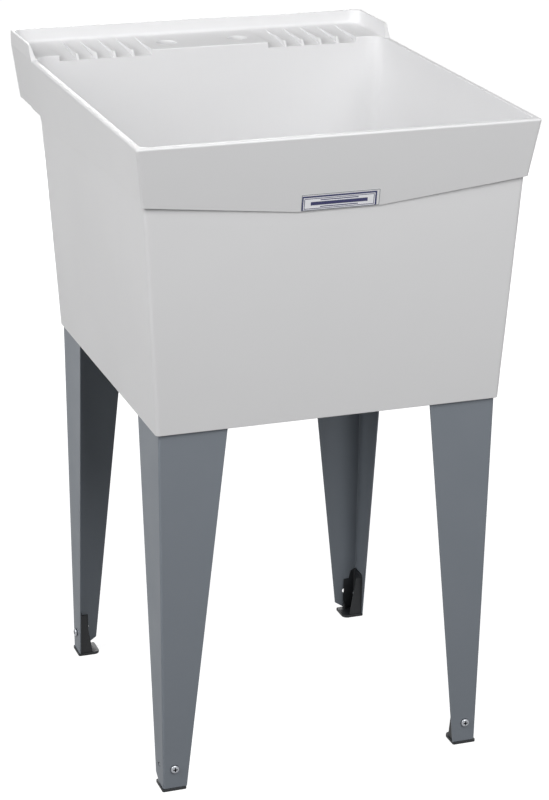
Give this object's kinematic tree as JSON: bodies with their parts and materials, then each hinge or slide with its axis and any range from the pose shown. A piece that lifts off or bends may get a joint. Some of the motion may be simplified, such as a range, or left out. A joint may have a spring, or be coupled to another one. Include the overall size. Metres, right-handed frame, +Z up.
{
  "type": "utility laundry sink",
  "caption": "Free-standing utility laundry sink: deep moulded tub with a rear ledge, soap dishes and faucet holes, on folded steel legs with levelling feet.",
  "frame": {"origin": "on the floor, under the middle of the overall width and depth", "axes": "+Z up, -Y towards the user at the front, +X to the user's right"},
  "size_m": [0.508, 0.6066, 0.87],
  "materials": {
    "tub_plastic": "satin moulded polypropylene, pale grey-white",
    "label_film": "white label film with plain rules",
    "leg_steel": "satin grey powder coat on folded sheet steel",
    "foot_plastic": "black moulded nylon",
    "screw_zinc": "bright zinc plate",
    "drain_steel": "polished stainless steel",
    "nut_plastic": "white moulded polypropylene",
    "washer_rubber": "black rubber",
    "stopper_rubber": "dark moulded rubber"
  },
  "bodies": {
    "sink": {"tub": "tub_plastic", "label_plate": "label_film", "drain_body": "drain_steel", "drain_strainer": "drain_steel", "drain_gasket": "washer_rubber", "drain_locknut": "nut_plastic", "slip_washer": "washer_rubber", "tailpiece": "nut_plastic", "slip_nut": "nut_plastic", "leg_front_left": "leg_steel", "clamp_screw_front_left": "screw_zinc", "clamp_nut_front_left": "screw_zinc", "leg_screws_front_left": "screw_zinc", "leg_front_right": "leg_steel", "clamp_screw_front_right": "screw_zinc", "clamp_nut_front_right": "screw_zinc", "leg_screws_front_right": "screw_zinc", "leg_rear_left": "leg_steel", "clamp_screw_rear_left": "screw_zinc", "clamp_nut_rear_left": "screw_zinc", "leg_screws_rear_left": "screw_zinc", "leg_rear_right": "leg_steel", "clamp_screw_rear_right": "screw_zinc", "clamp_nut_rear_right": "screw_zinc", "leg_screws_rear_right": "screw_zinc"},
    "foot_front_left": {"foot_front_left": "foot_plastic"},
    "foot_front_right": {"foot_front_right": "foot_plastic"},
    "foot_rear_left": {"foot_rear_left": "foot_plastic"},
    "foot_rear_right": {"foot_rear_right": "foot_plastic"},
    "stopper": {"stopper_plug": "stopper_rubber", "stopper_knob": "drain_steel"}
  },
  "joints": [
    {"name": "level_front_left", "type": "slide", "parent": "sink", "child": "foot_front_left", "axis": [0.0102, 0.0102, -0.9999], "range_m": [0, 0.022]},
    {"name": "level_front_right", "type": "slide", "parent": "sink", "child": "foot_front_right", "axis": [-0.0102, 0.0102, -0.9999], "range_m": [0, 0.022]},
    {"name": "level_rear_left", "type": "slide", "parent": "sink", "child": "foot_rear_left", "axis": [0.0102, -0.0102, -0.9999], "range_m": [0, 0.022]},
    {"name": "level_rear_right", "type": "slide", "parent": "sink", "child": "foot_rear_right", "axis": [-0.0102, -0.0102, -0.9999], "range_m": [0, 0.022]},
    {"name": "stopper_lift", "type": "slide", "parent": "sink", "child": "stopper", "axis": [0, 0, 1], "range_m": [0, 0.04]}
  ]
}
